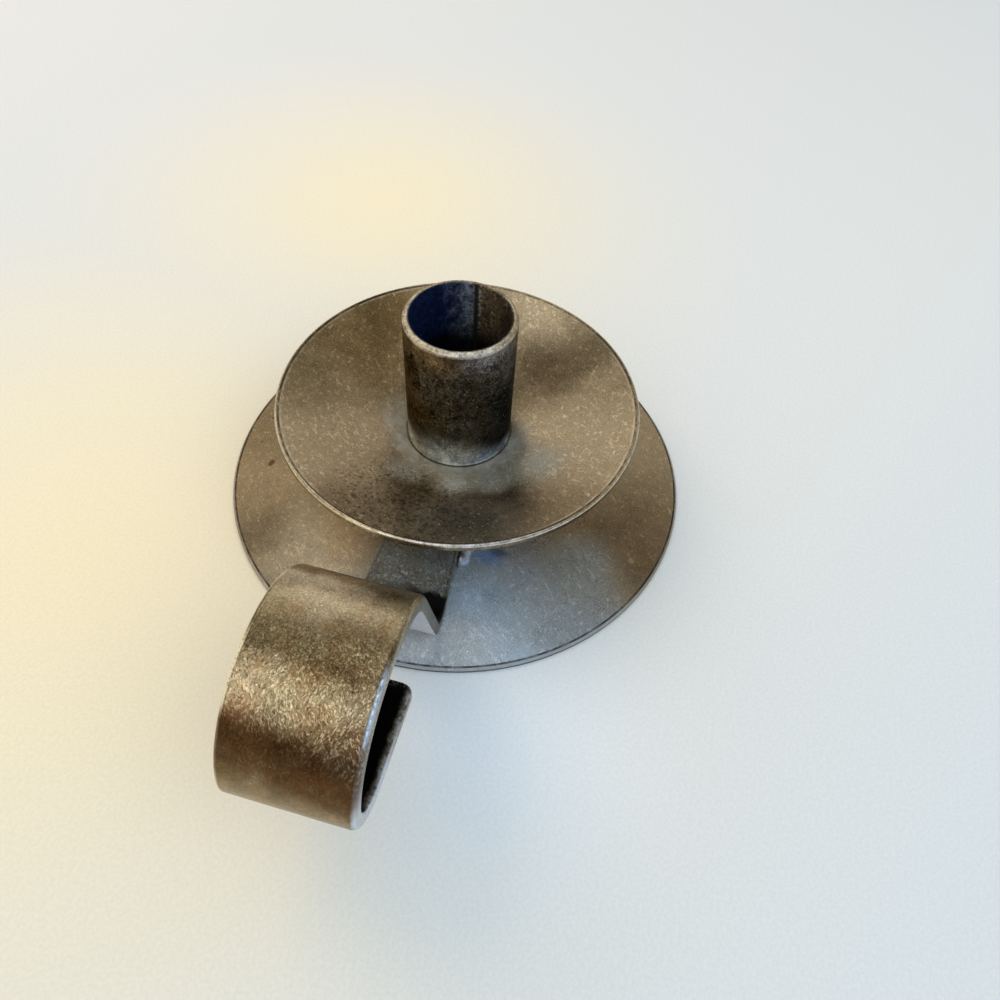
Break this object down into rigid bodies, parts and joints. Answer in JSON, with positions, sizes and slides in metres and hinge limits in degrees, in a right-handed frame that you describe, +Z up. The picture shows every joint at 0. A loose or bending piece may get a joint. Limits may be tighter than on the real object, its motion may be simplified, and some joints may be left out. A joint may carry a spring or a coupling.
{
  "type": "chamberstick",
  "caption": "Low candle holder with a cone base, a shallow conical drip dish, an upright candle tube and a broad strap handle bent into a finger loop.",
  "frame": {"origin": "on the table, under the middle of the overall length and of the width; the candle's axis stands upright at x = -0.0205 m", "axes": "+X towards the finger loop, +Z up along the candle, +Y to the handle's left seen from the candle"},
  "size_m": [0.1554, 0.115, 0.0519],
  "materials": {
    "plate_steel": "aged, waxed, fine pitted grain",
    "strap_steel": "aged, brown, bright on its worn edges",
    "tube_steel": "dark, speckled",
    "rivet_steel": "dark, hammered",
    "weld_steel": "bright, blue-grey"
  },
  "bodies": {
    "root": {"base_plate": "plate_steel", "strap_handle": "strap_steel", "drip_dish": "plate_steel", "candle_tube": "tube_steel", "centre_rivet": "rivet_steel", "socket_weld": "weld_steel", "root_welds": "weld_steel"}
  },
  "joints": []
}
